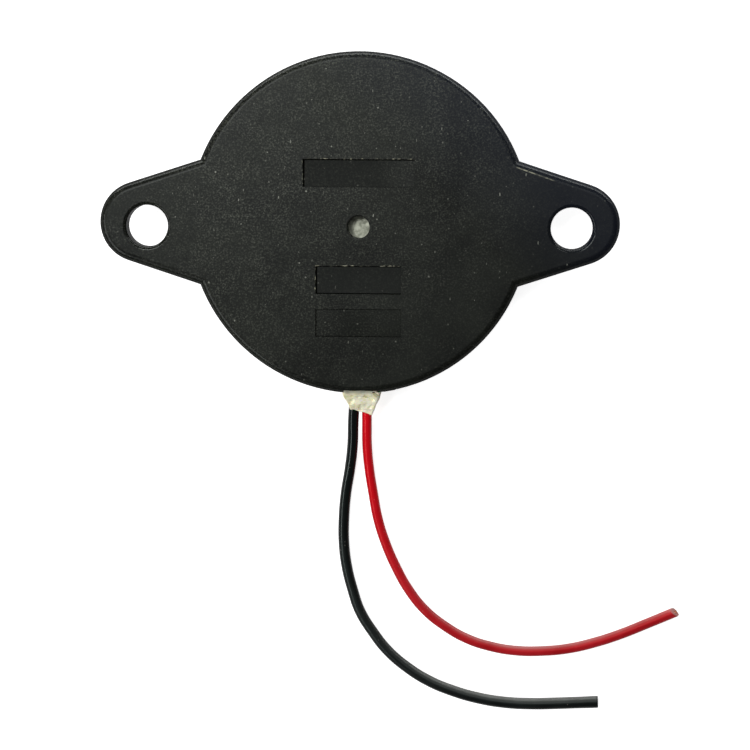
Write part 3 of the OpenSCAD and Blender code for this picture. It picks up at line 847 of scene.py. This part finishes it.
# Tinned and bare metals: patches of tarnish change the colour and the gloss, and a grain breaks it up.
# Fired ceramic is pale and matt with fine pores; silicone is milky and shiny.
metal = {"detail": 4, "toneRange": (0.38, 0.64), "roughRange": (0.3, 0.7), "shader": {"Metallic": 1.0}}
soft = {"detail": 3, "toneRange": (0.0, 1.0), "roughRange": (0.0, 1.0), "shader": {}}
innerLooks = {
    "copper": {**metal, "tones": ("#B87350", "#8A4E35"), "patch": 0.8, "grain": 0.08,
               "depth": 0.002 * mm, "roughness": (0.28, 0.45)},
    "nickel": {**metal, "tones": ("#A8AB9C", "#84877A"), "patch": 0.35, "grain": 0.16,
               "depth": 0.005 * mm, "roughness": (0.40, 0.55)},
    "firedSilver": {**metal, "tones": ("#D9D7D0", "#B9B6AC"), "patch": 2.5, "grain": 0.12,
                    "depth": 0.004 * mm, "roughness": (0.45, 0.60)},
    "solder": {**metal, "tones": ("#C4C3BF", "#96958F"), "patch": 0.5, "grain": 0.2,
               "depth": 0.01 * mm, "roughness": (0.18, 0.34)},
    "ceramic": {**soft, "tones": ("#C8BC98", "#B3A682"), "patch": 3, "grain": 0.15,
                "depth": 0.004 * mm, "roughness": (0.55, 0.7)},
    "silicone": {**soft, "tones": ("#DCDBD2", "#C6C4B8"), "patch": 1.5, "grain": 0.6,
                 "depth": 0.02 * mm, "roughness": (0.22, 0.4),
                 "shader": {"Subsurface_Weight": 0.4, "Subsurface_Scale": 0.4 * mm}},
}


def makeInnerMaterial(name):
    look = innerLooks[name]
    material, tree, shader = startMaterial(name, **look["shader"])
    place = addNode(tree, "TexCoord").outputs["Object"]
    patches = addNode(tree, "TexNoise", {"Vector": place, "Scale": perSize(look["patch"]),
                                         "Detail": look["detail"]})
    spread = addNode(tree, "MapRange", {"Value": patches, "From Min": look["toneRange"][0],
                                        "From Max": look["toneRange"][1]})
    tone = addNode(tree, "Mix", {0: spread, 6: linear(look["tones"][0]), 7: linear(look["tones"][1])},
                   data_type="RGBA")
    setInput(tree, shader, "Base Color", tone)
    rough = addNode(tree, "MapRange", {"Value": patches, "From Min": look["roughRange"][0],
                                       "From Max": look["roughRange"][1],
                                       "To Min": look["roughness"][0], "To Max": look["roughness"][1]})
    setInput(tree, shader, "Roughness", rough)
    grain = addNode(tree, "TexNoise", {"Vector": place, "Scale": perSize(look["grain"]), "Detail": 2})
    bump = addNode(tree, "Bump", {"Height": grain, "Distance": look["depth"]})
    setInput(tree, shader, "Normal", bump)
    return material


# Cream sealant, half glossy like set putty, stained yellow-green in patches, with painted shade in brown in
# its creases and round its notch.
sealantLook = {
    "scatter": 0.15,
    "scatterReach": 0.3 * mm,
    "cream": "#FFFADC",
    "green": "#E6E2B0",
    "greenSize": 0.9,
    "greenRange": (0.48, 0.68),
    "white": "#FFFEF6",
    "whiteSize": 0.35,
    "whiteRange": (0.55, 0.70),
    "shadeBrown": "#776B46",
    "creaseRange": (0.44, 0.36),         # the lower, the sharper the hollow
    "notchSquash": (0.4, 1.2, 0.2),      # its painted shade is drawn out sideways and downwards
    "notchHeight": 3.6 * mm,
    "notchReach": (0.26 * mm, 0.12 * mm),
    "upperEdgeTone": "#77796C",                   # darker towards its upper edge, next to the case
    "upperEdgeHeights": (6.0 * mm, 6.38 * mm),
    "roughRange": (0.3, 0.7),
    "roughness": (0.48, 0.66),
    "bumpDepth": 0.008 * mm,
}


def makeSealantMaterial():
    material, tree, shader = startMaterial("cream_sealant", Subsurface_Weight=sealantLook["scatter"],
                                           Subsurface_Scale=sealantLook["scatterReach"])
    place = addNode(tree, "TexCoord").outputs["Object"]
    height = addNode(tree, "SeparateXYZ", {0: place}).outputs["Z"]
    hollow = addNode(tree, "NewGeometry").outputs["Pointiness"]
    stains, blush = [addNode(tree, "TexNoise", {"Vector": place, "Scale": perSize(sealantLook[size]),
                                                "Detail": detail})
                     for size, detail in (("greenSize", 4), ("whiteSize", 3))]
    masks = {}
    for use, value in (("greenRange", stains), ("whiteRange", blush), ("creaseRange", hollow),
                       ("upperEdgeHeights", height)):
        masks[use] = addNode(tree, "MapRange", {"Value": value, "From Min": sealantLook[use][0],
                                                "From Max": sealantLook[use][1]})
    squash = Vector(sealantLook["notchSquash"])
    notchX, notchY = sealantSettings["dents"][0][:2]
    notch = Vector((notchX * mm, notchY * mm, sealantLook["notchHeight"])) * squash
    squashed = addNode(tree, "VectorMath", {0: place, 1: squash}, operation="MULTIPLY")
    fromNotch = addNode(tree, "VectorMath", {0: squashed, 1: notch}, operation="DISTANCE")
    notchShade = addNode(tree, "MapRange", {"Value": fromNotch, "From Min": sealantLook["notchReach"][0],
                                         "From Max": sealantLook["notchReach"][1]})
    # painted shade: brown in the hollows, found by pointiness, and round the pressed notch
    paintedShade = addNode(tree, "Math", {0: masks["creaseRange"], 1: notchShade}, operation="MAXIMUM")
    tone = linear(sealantLook["cream"])
    for mask, over in ((masks["greenRange"], "green"), (masks["whiteRange"], "white"), (paintedShade, "shadeBrown"),
                       (masks["upperEdgeHeights"], "upperEdgeTone")):
        tone = addNode(tree, "Mix", {0: mask, 6: tone, 7: linear(sealantLook[over])}, data_type="RGBA")
    setInput(tree, shader, "Base Color", tone)
    rough = addNode(tree, "MapRange", {"Value": stains, "From Min": sealantLook["roughRange"][0],
                                       "From Max": sealantLook["roughRange"][1],
                                       "To Min": sealantLook["roughness"][0],
                                       "To Max": sealantLook["roughness"][1]})
    setInput(tree, shader, "Roughness", rough)
    bump = addNode(tree, "Bump", {"Height": blush, "Distance": sealantLook["bumpDepth"]})
    setInput(tree, shader, "Normal", bump)
    return material


inner = {name: makeInnerMaterial(name) for name in innerLooks}
for colour, (lead, strands) in leads.items():
    setMaterial(lead, makePvc(colour))
    setMaterial(strands, inner["copper"])
setMaterial(sealant, makeSealantMaterial())
for node, name in (("metal_plate", "nickel"), ("silver_electrode", "firedSilver"),
                   ("red_solder_joint", "solder"), ("black_solder_joint", "solder"),
                   ("ceramic_disc", "ceramic"), ("adhesive_ring", "silicone")):
    setMaterial(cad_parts[node], inner[name])
print("leads, sealant and inner parts coloured")


# A white sweep under soft studio light: a key lamp high at the left with a weak fill opposite, one
# at the lower left for the leads, and a low wide one behind for the rims.
stageSettings = {
    "floorSize": 3.0,
    "floorTone": "#F0F0F0",
    "floorRoughness": 0.9,
    "floorGloss": 0.1,
    "seenLift": 0.80,          # how much the floor is brightened for the camera
    "mirroredLift": 0.12,      # and in reflections
    "worldLevel": 0.15,
    "lamps": {
        "key": {"place": (-0.088, 0.09, 0.40), "size": (0.11, 0.11), "watts": 0.59},
        "side": {"place": (-0.27, -0.12, 0.26), "size": (0.38, 0.05), "watts": 0.78},
        "fill": {"place": (0.11, 0.13, 0.38), "size": (0.05, 0.05), "watts": 0.13},
        "rim": {"place": (0.03, 0.38, 0.055), "size": (0.95, 0.05), "watts": 2.5},
    },
}


def addLamp(name, settings):
    bpy.ops.object.light_add(type="AREA", location=settings["place"])
    lamp = bpy.context.object
    lamp.name = name
    lamp.data.shape = "RECTANGLE"
    lamp.data.size, lamp.data.size_y = settings["size"]
    lamp.data.energy = settings["watts"]
    lamp.rotation_euler = (-Vector(settings["place"])).to_track_quat("-Z", "Y").to_euler()


def makeFloorMaterial():
    # white studio sweep: brightened where the camera or a reflection sees it, shadows kept
    material, tree, shader = startMaterial("whiteSweep", Roughness=stageSettings["floorRoughness"],
                                           Base_Color=linear(stageSettings["floorTone"]),
                                           Specular_IOR_Level=stageSettings["floorGloss"],
                                           Emission_Color=linear("#FFFFFF"))
    path = addNode(tree, "LightPath").outputs
    mirrored = addNode(tree, "Math", {0: path["Is Glossy Ray"], 1: path["Is Transmission Ray"]},
                       operation="ADD", use_clamp=True)
    mirroredLift = addNode(tree, "Math", {0: mirrored, 1: stageSettings["mirroredLift"]},
                           operation="MULTIPLY")
    lift = addNode(tree, "Math", {0: path["Is Camera Ray"], 1: stageSettings["seenLift"], 2: mirroredLift},
                   operation="MULTIPLY_ADD")
    setInput(tree, shader, "Emission Strength", lift)
    back = addNode(tree, "NewGeometry").outputs["Backfacing"]
    clear = addNode(tree, "BsdfTransparent")
    both = addNode(tree, "MixShader", {0: back, 1: shader, 2: clear})
    setInput(tree, tree.nodes["Material Output"], "Surface", both)
    return material


def makeStage():
    bpy.ops.mesh.primitive_plane_add(size=stageSettings["floorSize"])
    floor = bpy.context.object
    floor.name = "floor"
    setMaterial(floor, makeFloorMaterial())
    for name, settings in stageSettings["lamps"].items():
        addLamp(name, settings)
    world = bpy.data.worlds.new("studio")
    bpy.context.scene.world = world
    world.use_nodes = True
    background = world.node_tree.nodes["Background"]
    setInput(world.node_tree, background, "Color", linear("#FFFFFF"))
    setInput(world.node_tree, background, "Strength", stageSettings["worldLevel"])


makeStage()
bpy.context.scene.view_settings.view_transform = "Standard"
print("stage lit")
